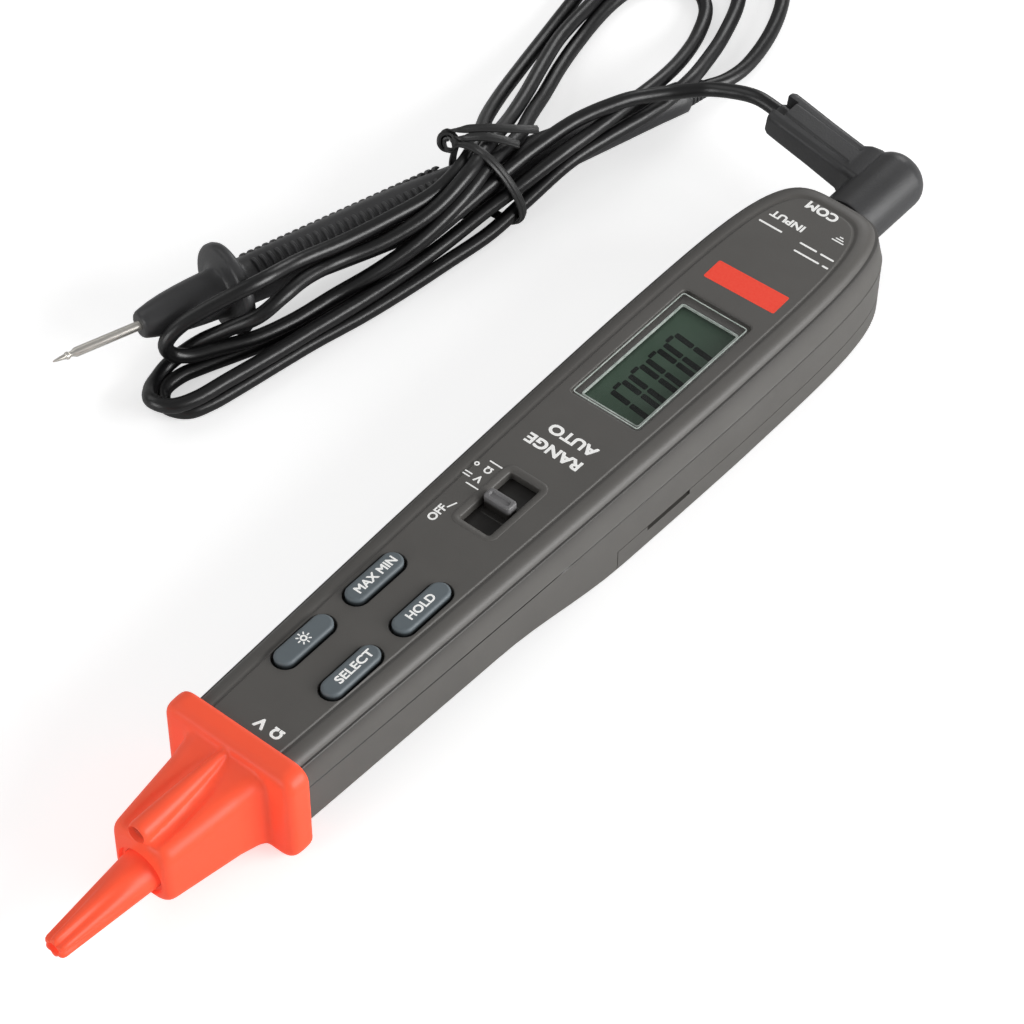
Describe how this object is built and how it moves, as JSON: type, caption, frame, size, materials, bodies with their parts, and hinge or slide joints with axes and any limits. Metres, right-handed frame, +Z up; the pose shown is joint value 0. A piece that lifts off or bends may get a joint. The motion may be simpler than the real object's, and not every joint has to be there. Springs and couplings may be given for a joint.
{
  "type": "pen multimeter with test lead",
  "caption": "Pen-shaped digital multimeter with a red sprung tip guard, a slide selector, keys, a display and one tied black test lead in its tail socket.",
  "frame": {"origin": "on the table, under the middle of the meter's length and width, the lead left out", "axes": "+X from the tip to the tail, +Y across towards the plug's boot and the lead, +Z up, out of the display"},
  "size_m": [0.274, 0.1058, 0.0213],
  "materials": {
    "case_plastic": "fine matte moulding",
    "red_plastic": "satin moulding",
    "nickel": "bright",
    "screw_steel": "satin",
    "pale_plastic": "matte",
    "clear_window": "clear",
    "display_panel": "grey-green",
    "strip_rubber": "matte",
    "board_laminate": "lacquered",
    "key_plastic": "matte",
    "knob_plastic": "matte",
    "spring_brass": "bright",
    "cell_wrap": "plain printed sleeve",
    "cable_black": "glossy soft jacket",
    "plug_black": "matte"
  },
  "bodies": {
    "meter": {"upper_shell": "case_plastic", "lower_shell": "case_plastic", "battery_cover": "case_plastic", "cover_screw": "screw_steel", "case_screws": "screw_steel", "nose_guard": "red_plastic", "meter_needle": "nickel", "needle_holder": "pale_plastic", "tip_contact": "nickel", "torch_lamp": "clear_window", "display_lens": "clear_window", "display_glass": "display_panel", "display_holder": "pale_plastic", "contact_strips": "strip_rubber", "circuit_board": "board_laminate", "board_screws": "screw_steel", "key_switches": "pale_plastic", "cell_a": "cell_wrap", "cell_b": "cell_wrap", "cell_springs": "nickel", "cell_plates": "nickel", "com_socket": "knob_plastic", "com_contact": "nickel", "buzzer": "knob_plastic", "meter_chip": "knob_plastic", "crystal_can": "nickel", "board_parts": "board_laminate", "plug_body": "plug_black", "plug_pin": "nickel", "lead_cable": "cable_black", "lead_hank": "cable_black", "cable_tie": "plug_black", "probe_handle": "plug_black", "probe_needle": "nickel", "probe_relief": "plug_black"},
    "tip_sleeve": {"tip_sleeve": "red_plastic", "sleeve_spring": "nickel"},
    "key_light": {"key_light": "key_plastic"},
    "key_select": {"key_select": "key_plastic"},
    "key_max_min": {"key_max_min": "key_plastic"},
    "key_hold": {"key_hold": "key_plastic"},
    "selector": {"selector_knob": "knob_plastic", "selector_wiper": "spring_brass"}
  },
  "joints": [
    {"name": "sleeve_push", "type": "slide", "parent": "meter", "child": "tip_sleeve", "axis": [1, 0, 0], "range_m": [0, 0.014], "stiffness_N_per_m": 100, "springref_m": -0.01, "deforming": ["sleeve_spring"]},
    {"name": "key_light_press", "type": "slide", "parent": "meter", "child": "key_light", "axis": [0, 0, -1], "range_m": [0, 0.0008], "stiffness_N_per_m": 1800},
    {"name": "key_select_press", "type": "slide", "parent": "meter", "child": "key_select", "axis": [0, 0, -1], "range_m": [0, 0.0008], "stiffness_N_per_m": 1800},
    {"name": "key_max_min_press", "type": "slide", "parent": "meter", "child": "key_max_min", "axis": [0, 0, -1], "range_m": [0, 0.0008], "stiffness_N_per_m": 1800},
    {"name": "key_hold_press", "type": "slide", "parent": "meter", "child": "key_hold", "axis": [0, 0, -1], "range_m": [0, 0.0008], "stiffness_N_per_m": 1800},
    {"name": "selector_slide", "type": "slide", "parent": "meter", "child": "selector", "axis": [1, 0, 0], "range_m": [-0.0042, 0.0042]}
  ]
}
